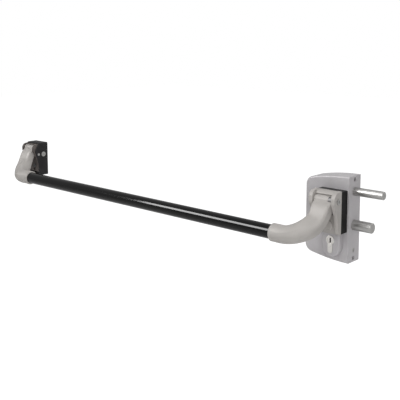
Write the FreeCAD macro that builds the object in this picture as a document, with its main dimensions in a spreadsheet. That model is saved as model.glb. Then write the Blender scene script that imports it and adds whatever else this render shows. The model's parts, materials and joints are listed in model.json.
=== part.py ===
import FreeCAD, Part
import math
import os
import Sketcher

from FreeCAD import Placement, Rotation, Vector

# Panic bar for a swing gate. The bar hangs on two cast arms. The right arm turns a sector
# gear, which lifts a rack, which turns a pinion and a square spindle, which draws the latch
# bolt. A key cylinder throws a separate dead bolt.
#
# +X runs along the bar towards the bolts, -Y points at the person who pushes, +Z is up.
# The origin is the centre of the lock case's seat, the flat face that meets the gate post.

doc = FreeCAD.newDocument("PanicBar")
sheet = doc.addObject("Spreadsheet::Sheet", "Sizes")


class Size:
    """A length that knows the formula it comes from."""

    def __init__(self, value, formula):
        self.value = float(value)
        self.formula = formula

    def join(self, other, sign, value):
        return Size(value, "(" + self.formula + " " + sign + " " + formula_of(other) + ")")

    def __add__(self, other):
        return self.join(other, "+", self.value + number(other))

    def __sub__(self, other):
        return self.join(other, "-", self.value - number(other))

    def __mul__(self, other):
        return self.join(other, "*", self.value * number(other))

    def __truediv__(self, other):
        return self.join(other, "/", self.value / number(other))

    def __radd__(self, other):
        return whole(other) + self

    def __rsub__(self, other):
        return whole(other) - self

    def __rmul__(self, other):
        return whole(other) * self

    def __neg__(self):
        return whole(0) - self

    def __float__(self):
        return self.value


def number(amount):
    return float(amount)


def formula_of(amount):
    if isinstance(amount, Size):
        return amount.formula
    return "(" + repr(float(amount)) + ")"


def whole(amount):
    return Size(float(amount), formula_of(amount))


rows = []


def size(alias, value, note):
    """One driving size: a row of the sheet, and the name that the model uses."""
    row = str(len(rows) + 1)
    rows.append(alias)
    sheet.set("A" + row, note)
    sheet.set("B" + row, str(value))
    sheet.setAlias("B" + row, alias)
    return Size(value, "Sizes." + alias)


# Clearances
running_gap = size("running_gap", 0.05, "radial play of a shaft in its bearing")
moving_gap = size("moving_gap", 0.5, "air between moving faces")
seat_gap = size("seat_gap", 0.1, "play of a piece that is clamped in its seat")

# The lock case, a D-shaped box beside the gate post
case_width = size("case_width", 92.5, "lock case, along the bar")
case_height = size("case_height", 161, "lock case, upright")
case_depth = size("case_depth", 40, "lock case, through the gate")
case_rise = size("case_rise", 24, "how far the arched top drops to the left side")
case_corner = size("case_corner", 16, "radius where the arch meets the left side")
case_edge = size("case_edge", 3, "rounded front edge of the case")
case_wall = size("case_wall", 3, "wall of the case")
lid_thick = size("lid_thick", 3, "back lid of the case")
lid_play = size("lid_play", 0.2, "air around the lid inside the case wall")
lid_screw_r = size("lid_screw_r", 2.5, "lid screw shank radius")
lid_screw_long = size("lid_screw_long", 14, "lid screw, head and all")
boss_bed = size("boss_bed", 0.5, "how far a boss runs into the wall it stands on")
lid_boss_r = size("lid_boss_r", 5.5, "boss around a lid screw")
fixing_z = size("fixing_z", 73.5, "height of each fixing hole from the centre")
fixing_r = size("fixing_r", 4, "threaded fixing hole radius")
fixing_depth = size("fixing_depth", 18, "threaded fixing hole depth")

# The raised guard and the key cylinder in it
guard_r = size("guard_r", 19, "radius of the raised cylinder guard")
guard_out = size("guard_out", 12, "how far the guard stands off the case")
guard_z = size("guard_z", -51, "height of the guard's round end")
guard_edge = size("guard_edge", 4, "rounded edge of the guard")
key_z = size("key_z", -38.5, "height of the key plug")
euro_r = size("euro_r", 8.5, "key cylinder, round head radius")
euro_height = size("euro_height", 33, "key cylinder, overall height")
euro_web = size("euro_web", 10, "key cylinder, width of the lower web")
euro_proud = size("euro_proud", 0.5, "key cylinder, proud of the guard")
euro_slot = size("euro_slot", 11, "gap for the cam in the key cylinder")
plug_r = size("plug_r", 6, "key plug radius")
plug_sunk = size("plug_sunk", 0.8, "key plug, sunk below the cylinder's face")
keyway_width = size("keyway_width", 3, "width of the keyway")
keyway_deep = size("keyway_deep", 22, "depth of the keyway")
cam_ring_r = size("cam_ring_r", 7.5, "ring of the cam")
cam_reach = size("cam_reach", 15, "cam tip from the plug's axis")
cam_width = size("cam_width", 7, "cam lever width")
cam_thick = size("cam_thick", 8, "cam thickness")
cam_start = size("cam_start", 45, "degrees from upright at which the cam rests")
key_screw_r = size("key_screw_r", 2.5, "cylinder screw radius")
key_screw_up = size("key_screw_up", 4.5, "cylinder screw above the cylinder's lowest point")

# The bolts
bolt_tip = size("bolt_tip", 1, "bevel at the tip of a bolt")
bolt_relief = size("bolt_relief", 0.3, "a bolt is this much thinner outside the case")
sleeve_wall = size("sleeve_wall", 3, "wall of the sleeve that a bolt runs in")
bolt_neck = size("bolt_neck", 1, "where that thinner part starts, from the seat")
bolt_overhang = size("bolt_overhang", 59, "latch bolt tip from the case's seat")
latch_z = size("latch_z", 51.5, "latch bolt height")
latch_r = size("latch_r", 8, "latch bolt radius")
latch_throw = size("latch_throw", 18.7, "travel of the latch bolt")
dead_z = size("dead_z", -11, "dead bolt height")
dead_r = size("dead_r", 10, "dead bolt radius")
dead_overhang = size("dead_overhang", 38, "dead bolt tip from the seat, drawn in")
dead_throw = size("dead_throw", 20, "travel of the dead bolt")
tail_thick = size("tail_thick", 10, "thickness of the bolt tails")
fork_wall = size("fork_wall", 6, "leg of a bolt tail")

# The black spacer block on the case, and the yoke on it
bracket_x = size("bracket_x", -30, "middle of the right bracket")
rack_room = size("rack_room", 1.9, "gap between the rack and the yoke cheek")
left_cheek = size("left_cheek", 5.4, "thickness of a cheek of the left yoke")
yoke_crown = size("yoke_crown", 1.5, "top of the right yoke above its block")
boss_tall = size("boss_tall", 2.5, "round boss low on the right yoke")
boss_r = size("boss_r", 9, "radius of that boss")
cheek_trim = size("cheek_trim", 3, "how much slimmer the cheek under the arm's bend is, low down")
block_depth = size("block_depth", 20, "spacer block, off the case")
block_low = size("block_low", -22.5, "bottom of the block")
block_high = size("block_high", 55.5, "top of the block")
block_wall = size("block_wall", 2.5, "wall of the block")
yoke_cheek = size("yoke_cheek", 7.5, "thickness of a yoke cheek")
yoke_base = size("yoke_base", 4, "thickness of the yoke's base")
yoke_reach = size("yoke_reach", 24, "yoke cheeks, off the block")

# Pivot, arms and bar
pivot_out = size("pivot_out", 31, "pivot axis, off the gate's face")
pivot_z = size("pivot_z", 40, "pivot height")
axle_r = size("axle_r", 4, "pivot axle radius")
bush_wall = size("bush_wall", 1.5, "wall of a pivot bush")
bush_long = size("bush_long", 8, "length of a pivot bush")
hub_r = size("hub_r", 9, "arm hub radius")
bar_out = size("bar_out", 92, "bar axis, off the gate's face")
bar_z = size("bar_z", -20.4, "bar axis height")
bar_r = size("bar_r", 13.45, "bar tube radius")
bar_wall = size("bar_wall", 2, "bar tube wall")
bracket_span = size("bracket_span", 907, "from the right bracket's middle to the left one's")
socket_r = size("socket_r", 16.7, "arm socket radius")
right_reach = size("right_reach", 72, "right socket's mouth from the bracket's middle")
left_reach = size("left_reach", 85, "left socket's mouth from the bracket's middle")
elbow_reach = size("elbow_reach", 50, "end of an arm's bend from the bracket's middle")
mouth_bevel = size("mouth_bevel", 1.6, "bevel round a socket's mouth")
socket_depth = size("socket_depth", 28, "how far the tube enters the socket")
arm_thick = size("arm_thick", 15.9, "arm thickness at the hub")
arm_thick_mid = size("arm_thick_mid", 22.3, "arm thickness a third of the way down")
arm_wide_mid = size("arm_wide_mid", 36.3, "arm width two thirds of the way down")
hub_collar = size("hub_collar", 0.3, "how far the hub stands proud of the arm's sides")
ring_step = size("ring_step", 11, "spacing of the sections along an arm's straight end")
arm_run = size("arm_run", 40.3, "how far the arm goes straight on from the hub")
axle_head = size("axle_head", 1.5, "pivot axle head, off the cheek")
clip_thick = size("clip_thick", 0.8, "thickness of the axle's clip")
grub_r = size("grub_r", 2.5, "bar grub screw radius")
window_gap = size("window_gap", 1.1, "gap between the sector gear and its opening")
window_low = size("window_low", 12, "lower edge of that opening")
block_corner = size("block_corner", 2, "rounded corner of the spacer block")

# Gears
module = size("module", 1.6, "tooth size")
sector_teeth = size("sector_teeth", 20, "teeth of the whole sector circle")
pinion_teeth = size("pinion_teeth", 12, "teeth of the pinion")
gear_width = size("gear_width", 7, "width of the sector gear and rack")
rack_side = size("rack_side", 6, "side of the rack's bar")
lever_play = size("lever_play", 0.3, "play of the lever tip in the latch fork")
spindle_z = size("spindle_z", 12.5, "height of the square spindle")
spindle_side = size("spindle_side", 8, "side of the square spindle")
lever_reach = size("lever_reach", 27.4, "follower lever, axis to the middle of its tip")
lever_tip_r = size("lever_tip_r", 3.5, "follower lever tip radius")
lever_half = size("lever_half", 2.5, "half the width of the lever's shank")
lever_start = size("lever_start", 20, "degrees from upright at which the lever rests")
follower_r = size("follower_r", 9, "follower journal radius")
follower_hub_r = size("follower_hub_r", 11, "follower hub radius between its journals")

# Inside the case
spring_stop_x = size("spring_stop_x", 81, "stop of the latch spring, from the seat")
spring_wire_r = size("spring_wire_r", 0.8, "latch spring wire radius")
spring_coil_r = size("spring_coil_r", 4.6, "latch spring coil radius")
yoke_screw_r = size("yoke_screw_r", 3, "yoke screw radius")
yoke_boss_deep = size("yoke_boss_deep", 5, "screw boss behind the case front")

# Left bracket
hood_wall = size("hood_wall", 2, "wall of the left hood")
hood_round = size("hood_round", 3, "rounded upper edges of the hood")
hood_low = size("hood_low", -30.5, "bottom of the hood")
hood_high = size("hood_high", 55, "top of the hood")
hood_screw_out = size("hood_screw_out", 14, "hood screw, off the gate's face")
hood_screw_z = size("hood_screw_z", 24.8, "height of the hood screws and pins")
hood_screw_head_r = size("hood_screw_head_r", 6.3, "hood screw head radius")
hood_pin_out = size("hood_pin_out", 28.5, "hood pin, off the gate's face")
hood_pin_r = size("hood_pin_r", 3.2, "hood pin radius")
hood_screw_long = size("hood_screw_long", 11, "hood screw, under its head")
hood_screw_head = size("hood_screw_head", 1.6, "height of a hood screw's head")
hood_pin_proud = size("hood_pin_proud", 0.6, "how far a hood pin stands out")
hood_pin_deep = size("hood_pin_deep", 4, "how far a hood pin enters the yoke")
left_fixing_z = size("left_fixing_z", 29, "half the spacing of the left fixing holes")
dowel_r = size("dowel_r", 1.3, "dowel that locks the sector to the arm")
dowel_deep = size("dowel_deep", 8, "how far a dowel enters the arm")

origin = Vector(0, 0, 0)
PRESSURE_ANGLE = math.radians(25)
BACKLASH = 0.16
GRUB_AIM = Vector(0, 0.5, -0.87).normalize()
TURN = {
    "X": Rotation(Vector(0, 1, 0), 90),
    "Y": Rotation(Vector(1, 0, 0), -90),
    "Z": Rotation(),
}
nodes = {}


def bind(target, path, amount):
    target.setExpression(path, formula_of(amount))


def place(target, x, y, z, turn=None):
    target.Placement = Placement(Vector(float(x), float(y), float(z)), turn or Rotation())
    for letter, amount in zip("xyz", (x, y, z)):
        bind(target, "Placement.Base." + letter, amount)
    return target


def box(name, x_span, y_span, z_span):
    """A block between two corners."""
    made = doc.addObject("Part::Box", name)
    for side, span in (("Length", x_span), ("Width", y_span), ("Height", z_span)):
        bind(made, side, whole(span[1]) - span[0])
    return place(made, x_span[0], y_span[0], z_span[0])


def rod(name, axis, start, length, radius, at):
    """A cylinder along an axis letter; at gives the two other coordinates in order."""
    made = doc.addObject("Part::Cylinder", name)
    bind(made, "Radius", radius)
    bind(made, "Height", length)
    spot = {"X": (start,) + at, "Y": (at[0], start, at[1]), "Z": at + (start,)}[axis]
    return place(made, *spot, turn=TURN[axis])


def cone(name, axis, start, length, r_start, r_end, at):
    made = doc.addObject("Part::Cone", name)
    bind(made, "Radius1", r_start)
    bind(made, "Radius2", r_end)
    bind(made, "Height", length)
    spot = {"X": (start,) + at, "Y": (at[0], start, at[1]), "Z": at + (start,)}[axis]
    return place(made, *spot, turn=TURN[axis])


def fuse(name, *pieces):
    if len(pieces) == 1:
        return pieces[0]
    made = doc.addObject("Part::MultiFuse", name)
    made.Shapes = list(pieces)
    return made


def cut(name, base, *tools):
    made = doc.addObject("Part::Cut", name)
    made.Base = base
    made.Tool = fuse(name + "Tools", *tools)
    return made


def solid_of(name, shape):
    """A piece whose shape is worked out here from the named sizes."""
    made = doc.addObject("Part::Feature", name)
    made.Shape = shape
    return made


def node(label, made):
    """Name a finished piece; the name is also its file's."""
    made.Label = label
    nodes[label] = made
    return made


def plane_of(body, role):
    for feature in body.Origin.OriginFeatures:
        if feature.Role == role:
            return feature
    raise ValueError(role)


def arc_geometry(start, end, radius, side):
    """The short arc from start to end whose centre lies left (+1) or right (-1) of travel."""
    chord = end - start
    half = chord.Length / 2
    rise = math.sqrt(max(radius * radius - half * half, 0.0))
    left = Vector(-chord.y, chord.x, 0).normalize()
    centre = start + chord * 0.5 + left * (rise * side)
    first, last = (start, end) if side > 0 else (end, start)
    angle_first = math.atan2(first.y - centre.y, first.x - centre.x)
    angle_last = math.atan2(last.y - centre.y, last.x - centre.x)
    circle = Part.Circle(centre, Vector(0, 0, 1), radius)
    return Part.ArcOfCircle(circle, angle_first, angle_last)


def sketch(body, name, plane, offset, outline):
    """A closed sketch with every corner bound to the sheet.

    outline is a list of corners (x, y) or (x, y, radius, side); a radius makes the stretch
    from that corner to the next an arc.
    """
    made = body.newObject("Sketcher::SketchObject", name)
    made.AttachmentSupport = [(plane_of(body, plane), "")]
    made.MapMode = "FlatFace"
    made.AttachmentOffset = Placement(Vector(0, 0, float(offset)), Rotation())
    bind(made, "AttachmentOffset.Base.z", offset)
    spots = [Vector(float(corner[0]), float(corner[1]), 0) for corner in outline]
    count = len(outline)
    starts = []
    ends = []
    for index, corner in enumerate(outline):
        start = spots[index]
        end = spots[(index + 1) % count]
        if len(corner) == 4:
            made.addGeometry(arc_geometry(start, end, float(corner[2]), corner[3]))
            starts.append(1 if corner[3] > 0 else 2)
            ends.append(2 if corner[3] > 0 else 1)
        else:
            made.addGeometry(Part.LineSegment(start, end))
            starts.append(1)
            ends.append(2)
    for index in range(count):
        after = (index + 1) % count
        made.addConstraint(Sketcher.Constraint("Coincident", index, ends[index], after, starts[after]))
    for index, corner in enumerate(outline):
        for kind, amount in (("DistanceX", corner[0]), ("DistanceY", corner[1])):
            rule = Sketcher.Constraint(kind, -1, 1, index, starts[index], float(amount))
            number_of = made.addConstraint(rule)
            bind(made, "Constraints[" + str(number_of) + "]", amount)
        if len(corner) == 4:
            number_of = made.addConstraint(Sketcher.Constraint("Radius", index, float(corner[2])))
            bind(made, "Constraints[" + str(number_of) + "]", corner[2])
    return made


def pad(body, name, profile, length, reverse=False):
    made = body.newObject("PartDesign::Pad", name)
    made.Profile = profile
    made.Reversed = reverse
    bind(made, "Length", length)
    return made


def pocket(body, name, profile, length, reverse=False):
    made = body.newObject("PartDesign::Pocket", name)
    made.Profile = profile
    made.Reversed = reverse
    bind(made, "Length", length)
    return made


def round_edges(body, name, base, radius, wanted):
    """Fillet the edges of base that the test function wants."""
    doc.recompute()
    made = body.newObject("PartDesign::Fillet", name)
    chosen = []
    for index, edge in enumerate(base.Shape.Edges):
        if wanted(edge):
            chosen.append("Edge" + str(index + 1))
    made.Base = (base, chosen)
    bind(made, "Radius", radius)
    return made


def root(amount):
    return Size(math.sqrt(amount.value), "sqrt(" + amount.formula + ")")


def cosine(angle):
    return Size(math.cos(math.radians(angle.value)), "cos(" + angle.formula + ")")


def sine(angle):
    return Size(math.sin(math.radians(angle.value)), "sin(" + angle.formula + ")")


# Places that several pieces share
gate_y = -(case_depth / 2)
back_y = case_depth / 2
top_z = case_height / 2
low_z = -(case_height / 2)
block_y = gate_y - block_depth
base_y = block_y - yoke_base
guard_y = gate_y - guard_out
pivot_y = gate_y - pivot_out
bar_y = gate_y - bar_out
left_bracket_x = bracket_x - bracket_span
sector_r = module * sector_teeth / 2
pinion_r = module * pinion_teeth / 2
rack_root = module * 1.25
cheek_inner = pinion_r + rack_root + rack_side + rack_room
bracket_half = cheek_inner + yoke_cheek
left_half = cheek_inner + left_cheek
hood_half = left_half + seat_gap + hood_wall
left_top = hood_high - hood_wall - seat_gap
rack_front_y = pivot_y + sector_r
rack_left_x = bracket_x + pinion_r
block_right = bracket_x + bracket_half
sector_x = rack_left_x + rack_root + rack_side - gear_width
euro_low = key_z + euro_r - euro_height
key_screw_z = euro_low + key_screw_up
mouth_right = bracket_x - right_reach
mouth_left = left_bracket_x + left_reach
screw_tip_y = base_y - boss_tall * 0.5
bush_r = axle_r + running_gap + bush_wall


def corners(x_span, y_span):
    """A rectangle as sketch corners."""
    return [
        (x_span[0], y_span[0]),
        (x_span[1], y_span[0]),
        (x_span[1], y_span[1]),
        (x_span[0], y_span[1]),
    ]


def case_outline(inset):
    """The D shape: a straight side on the post, arched ends and a straight left side."""
    span = case_width - case_corner
    big = (span * span + case_rise * case_rise - case_corner * case_corner) / (
        (case_rise - case_corner) * 2
    )
    lean_x = -(span / (big - case_corner))
    lean_z = (big - case_rise) / (big - case_corner)
    big_z = top_z - big
    arc = big - inset
    corner = case_corner - inset
    edge_z = big_z + root(arc * arc - inset * inset)
    tangent_x = arc * lean_x
    tangent_z = big_z + arc * lean_z
    left = -(case_width - inset)
    shoulder = top_z - case_rise
    return [
        (-inset, -edge_z),
        (-inset, edge_z, arc, 1),
        (tangent_x, tangent_z, corner, 1),
        (left, shoulder),
        (left, -shoulder, corner, 1),
        (tangent_x, -tangent_z, arc, 1),
    ]


def euro_profile(name, start, end, grow):
    """The key cylinder's section between two values of y: a round head on a web."""
    length = end - start
    head = rod(name + "Head", "Y", start, length, euro_r + grow, (bracket_x, key_z))
    foot_z = euro_low + euro_web / 2
    half = euro_web / 2 + grow
    web = box(name + "Web", (bracket_x - half, bracket_x + half), (start, end), (foot_z, key_z))
    foot = rod(name + "Foot", "Y", start, length, half, (bracket_x, foot_z))
    return fuse(name, head, web, foot)


def screw(name, axis, at, tip, head_at, shank_r, head_r, head_tall, outward):
    """A socket cap screw; outward is the sign of the way its head points along the axis."""
    shank_start = tip if outward > 0 else head_at
    shank = rod(name + "Shank", axis, shank_start, (head_at - tip) * outward, shank_r, at)
    head_start = head_at if outward > 0 else head_at - head_tall
    head = rod(name + "Head", axis, head_start, head_tall, head_r, at)
    socket_deep = head_tall * 0.6
    socket_start = head_at + head_tall - socket_deep if outward > 0 else head_at - head_tall
    hexagon = doc.addObject("Part::Prism", name + "Socket")
    hexagon.Polygon = 6
    bind(hexagon, "Circumradius", shank_r * 0.95)
    bind(hexagon, "Height", socket_deep)
    spot = {"X": (socket_start,) + at, "Y": (at[0], socket_start, at[1])}[axis]
    place(hexagon, *spot, turn=TURN[axis])
    return cut(name, fuse(name + "Blank", shank, head), hexagon)


# The lock case

def make_case():
    body = doc.addObject("PartDesign::Body", "CaseShell")
    outer = sketch(body, "CaseOutline", "XZ_Plane", -back_y, case_outline(whole(0)))
    block = pad(body, "CaseBlock", outer, case_depth)

    def front_rim(edge):
        box_of = edge.BoundBox
        on_front = abs(box_of.YMin - gate_y.value) < 0.01 and abs(box_of.YMax - gate_y.value) < 0.01
        return on_front and box_of.XMin < -0.01

    rim = round_edges(body, "CaseRim", block, case_edge, front_rim)
    inner = sketch(body, "CaseInside", "XZ_Plane", -back_y, case_outline(case_wall))
    pocket(body, "CaseHollow", inner, case_depth - case_wall, reverse=True)
    inside_y = gate_y + case_wall
    lid_y = back_y - lid_thick
    extra = []
    boss_y = inside_y - boss_bed
    for index, spot in enumerate(lid_screw_spots()):
        extra.append(rod("LidBoss" + str(index), "Y", boss_y, lid_y - boss_y, lid_boss_r, spot))
    for sign, label in ((1, "Top"), (-1, "Low")):
        middle = fixing_z * sign
        outer_z = middle + (fixing_r + 0.5) * sign
        inner_z = middle - fixing_r * sign * 2
        span = (inner_z, outer_z) if sign > 0 else (outer_z, inner_z)
        block_span = (-(fixing_depth + 4), whole(-1))
        extra.append(box("FixingBoss" + label, block_span, (boss_y, lid_y), span))
    latch_spot = (whole(0), latch_z)
    dead_spot = (whole(0), dead_z)
    latch_long = case_wall * 3
    dead_long = case_wall * 2
    extra.append(rod("LatchSleeve", "X", -latch_long, latch_long - 1, latch_r + sleeve_wall, latch_spot))
    extra.append(rod("DeadSleeve", "X", -dead_long, dead_long - 1, dead_r + sleeve_wall, dead_spot))
    extra.append(box(
        "SpringStop",
        (-spring_stop_x - case_wall, -spring_stop_x),
        (boss_y, tail_thick),
        (latch_z - tail_thick, latch_z + 7),
    ))
    upper, lower = yoke_screw_spots(bracket_x)
    extra.append(rod("YokeBoss", "Y", boss_y, yoke_boss_deep + boss_bed, yoke_screw_r + 3, upper))
    solid = fuse("CaseSolid", body, *extra)
    holes = []
    for index, spot in enumerate(lid_screw_spots()):
        hole_y = lid_y - lid_screw_long
        holes.append(rod("LidHole" + str(index), "Y", hole_y, whole(20), lid_screw_r, spot))
    for sign, label in ((1, "Top"), (-1, "Low")):
        spot = (whole(0), fixing_z * sign)
        holes.append(rod("FixingHole" + label, "X", -fixing_depth, fixing_depth + 1, fixing_r, spot))
    bolt_way = latch_long + 1
    holes.append(rod("LatchHole", "X", -bolt_way, bolt_way + 1, latch_r + running_gap, latch_spot))
    holes.append(rod("DeadHole", "X", -bolt_way, bolt_way + 1, dead_r + running_gap, dead_spot))
    front_y = gate_y - 1
    spindle_spot = (bracket_x, spindle_z)
    holes.append(rod("FollowerHole", "Y", front_y, case_wall + 2, follower_r + running_gap, spindle_spot))
    holes.append(euro_profile("EuroHole", front_y, inside_y + 1, seat_gap))
    key_spot = (whole(0), key_screw_z)
    side_x = -case_wall - 1
    holes.append(rod("KeyScrewHole", "X", side_x, case_wall + 2, key_screw_r + seat_gap, key_spot))
    holes.append(rod("KeyScrewSink", "X", -case_wall / 2, case_wall, key_screw_r + 2, key_spot))
    holes.append(rod("YokeThread", "Y", front_y, case_wall + yoke_boss_deep + 1, yoke_screw_r, upper))
    holes.append(rod("YokeWay", "Y", front_y, case_wall + 2, yoke_screw_r + seat_gap, lower))
    node("lock_case", cut("CaseCut", solid, *holes))


def lid_screw_spots():
    right = -(case_wall + lid_boss_r + 1)
    left = -(case_width - case_wall - lid_boss_r)
    return [
        (right, low_z + 44),
        (right - 22, top_z - 11),
        (left, top_z - 52),
        (left, low_z + 45),
    ]


def left_fixing_spots():
    return [
        ("_upper", (left_bracket_x, spindle_z + left_fixing_z)),
        ("_lower", (left_bracket_x, spindle_z - left_fixing_z)),
    ]


def yoke_screw_spots(middle):
    return [(middle - 12, spindle_z + 13), (middle + 3, spindle_z - 20)]


def make_lid():
    body = doc.addObject("PartDesign::Body", "LidPlate")
    outline = sketch(body, "LidOutline", "XZ_Plane", -back_y, case_outline(case_wall + lid_play))
    pad(body, "LidBlock", outline, lid_thick)
    start = back_y - lid_thick - 1
    through = lid_thick + 2
    holes = [
        rod("LidFollowerHole", "Y", start, through, follower_r + running_gap, (bracket_x, spindle_z)),
        euro_profile("LidEuroHole", start, back_y + 1, seat_gap),
    ]
    screws = []
    sink = lid_screw_r * 2
    for index, (x, z) in enumerate(lid_screw_spots()):
        name = "LidScrew" + str(index)
        holes.append(rod(name + "Way", "Y", start, through, lid_screw_r + seat_gap, (x, z)))
        deep = lid_screw_r
        head_y = back_y - deep
        small = lid_screw_r + seat_gap
        holes.append(cone(name + "Sink", "Y", head_y, deep, small, sink + seat_gap, (x, z)))
        shank_y = back_y - lid_screw_long
        shank = rod(name + "Shank", "Y", shank_y, lid_screw_long - deep, lid_screw_r, (x, z))
        head = cone(name + "Head", "Y", head_y, deep, lid_screw_r, sink, (x, z))
        hexagon = doc.addObject("Part::Prism", name + "Socket")
        hexagon.Polygon = 6
        bind(hexagon, "Circumradius", lid_screw_r * 0.8)
        bind(hexagon, "Height", deep)
        place(hexagon, x, back_y - deep * 0.8, z, turn=TURN["Y"])
        screws.append(cut(name, fuse(name + "Blank", shank, head), hexagon))
    node("case_lid", cut("LidCut", body, *holes))
    node("lid_screws", group("LidScrews", screws))


def turn_about_y(made, x, z, angle):
    """Swing a piece that was made upright at the origin, and set it on its axis."""
    made.Placement = Placement(Vector(float(x), 0, float(z)), Rotation(Vector(0, 1, 0), float(angle)))
    bind(made, "Placement.Base.x", x)
    bind(made, "Placement.Base.z", z)
    bind(made, "Placement.Rotation.Angle", angle)
    return made


def group(name, pieces):
    """Identical separate solids kept in one node."""
    made = doc.addObject("Part::Compound", name)
    made.Links = list(pieces)
    return made


def guard_outline(high):
    """A tongue: straight sides and a round lower end."""
    right = bracket_x + guard_r
    left = bracket_x - guard_r
    return [
        (left, guard_z, guard_r, 1),
        (bracket_x, guard_z - guard_r, guard_r, 1),
        (right, guard_z),
        (right, high),
        (left, high),
    ]


def make_guards():
    for label, offset, high, reverse in (
        ("cylinder_guard", -gate_y, block_low - seat_gap, False),
        ("rear_guard", -back_y, key_z + guard_r + 3, True),
    ):
        body = doc.addObject("PartDesign::Body", label + "_body")
        outline = sketch(body, label + "_outline", "XZ_Plane", offset, guard_outline(high))
        block = pad(body, label + "_block", outline, guard_out, reverse=reverse)
        face_y = float(gate_y - guard_out) if not reverse else float(back_y + guard_out)

        def face_rim(edge, face_y=face_y, high=high):
            spot = edge.BoundBox
            flat = abs(spot.YMin - face_y) < 0.01 and abs(spot.YMax - face_y) < 0.01
            return flat and spot.ZMin < float(high) - 0.01

        round_edges(body, label + "_rim", block, guard_edge, face_rim)
        start = guard_y - 1 if not reverse else back_y - 1
        hole = euro_profile(label + "_hole", start, start + guard_out + 2, seat_gap)
        node(label, cut(label + "_cut", body, hole))


def make_key_cylinder():
    face = guard_y - euro_proud
    half_gap = euro_slot / 2
    blank = euro_profile("EuroBlank", face, -face, whole(0))
    bore = rod("EuroBore", "Y", face - 1, -face * 2 + 2, plug_r + running_gap, (bracket_x, key_z))
    wide = euro_r + 1
    slot = box(
        "EuroSlot",
        (bracket_x - wide, bracket_x + wide),
        (-half_gap, half_gap),
        (key_z - cam_reach - moving_gap, key_z + wide),
    )
    key_spot = (whole(0), key_screw_z)
    thread = rod("EuroThread", "X", bracket_x - euro_web, euro_web * 2, key_screw_r, key_spot)
    node("key_cylinder", cut("EuroCut", blank, bore, slot, thread))
    half_cam = cam_thick / 2
    sunk = face + plug_sunk
    way = keyway_width / 2
    for label, start, end, mouth in (
        ("key_plug", sunk, -half_cam, sunk),
        ("rear_key_plug", half_cam + moving_gap, -sunk, -sunk),
    ):
        plug = rod(label + "Rod", "Y", start, end - start, plug_r, (bracket_x, key_z))
        deep = keyway_deep
        span = (mouth - 1, mouth + deep) if mouth is sunk else (mouth - deep, mouth + 1)
        keyway = box(
            label + "Way",
            (bracket_x - way, bracket_x + way),
            span,
            (key_z - plug_r + 1.2, key_z + plug_r - 2),
        )
        node(label, cut(label + "Cut", plug, keyway))
    ring = rod("CamRing", "Y", -half_cam, cam_thick, cam_ring_r, (whole(0), whole(0)))
    tip_r = cam_width / 2
    lever = box("CamLever", (-tip_r, tip_r), (-half_cam, half_cam), (whole(0), cam_reach - tip_r))
    tip = rod("CamTip", "Y", -half_cam, cam_thick, tip_r, (whole(0), cam_reach - tip_r))
    cam = fuse("CamSolid", ring, lever, tip)
    node("key_cam", turn_about_y(cam, bracket_x, key_z, -cam_start))
    key_screw = screw(
        "KeyScrew", "X", (whole(0), key_screw_z), bracket_x - euro_web / 2 + 0.5, -case_wall / 2,
        key_screw_r, key_screw_r + 1.8, case_wall / 2 - 0.2, 1,
    )
    node("key_screw", key_screw)


# The bolts and what drives them

def bolt_end(name, overhang, radius, spot):
    """The part of a bolt outside the case: a hair thinner, with a bevelled tip."""
    slim = radius - bolt_relief
    bevel_at = overhang - bolt_tip
    return [
        rod(name + "Slim", "X", bolt_neck, bevel_at - bolt_neck, slim, spot),
        cone(name + "Tip", "X", bevel_at, bolt_tip, slim, slim - bolt_tip, spot),
    ]


def make_latch_bolt():
    spot = (whole(0), latch_z)
    sleeve = case_wall * 3
    shaft_start = -(sleeve + 2)
    shaft = rod("LatchShaft", "X", shaft_start, bolt_neck - shaft_start, latch_r, spot)
    node("latch_bolt", fuse("LatchSolid", shaft, *bolt_end("Latch", bolt_overhang, latch_r, spot)))
    slot_x = bracket_x + sine(lever_start) * lever_reach
    half_slot = lever_tip_r + lever_play
    rear = slot_x - half_slot - fork_wall
    half = tail_thick / 2
    low = spindle_z + cosine(lever_start) * lever_reach - 2
    plate = box("LatchPlate", (rear, shaft_start), (-half, half), (low, latch_z + latch_r - 1))
    slot = box(
        "LatchSlot",
        (slot_x - half_slot, slot_x + half_slot),
        (-half - 1, half + 1),
        (low - 1, spindle_z + lever_reach + lever_tip_r + moving_gap),
    )
    stem_end = -(spring_stop_x - latch_throw - 1)
    stem = rod("LatchStem", "X", stem_end, rear - stem_end, spring_coil_r - spring_wire_r - 0.6, spot)
    node("latch_tail", fuse("LatchTail", cut("LatchFork", plate, slot), stem))
    node("latch_spring", solid_of("LatchSpring", coil(
        float(-spring_stop_x + spring_wire_r), float(rear - spring_wire_r),
        float(spring_coil_r), float(spring_wire_r), 7, latch_z.value,
    )))


def coil(start, end, coil_r, wire_r, turns, z):
    """A compression spring along X, its wire six-sided and its turns in short straight steps."""
    steps = 12
    rings = []
    for step in range(steps * turns + 1):
        turned = 2 * math.pi * step / steps
        along = start + (end - start) * step / (steps * turns)
        ring = []
        for side in range(6):
            angle = math.pi * side / 3
            reach = coil_r + wire_r * math.cos(angle)
            out_y = reach * math.cos(turned)
            out_z = reach * math.sin(turned) + z
            ring.append(Vector(along + wire_r * math.sin(angle), out_y, out_z))
        rings.append(Part.makePolygon(ring + [ring[0]]))
    return Part.makeLoft(rings, True, True)


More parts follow.
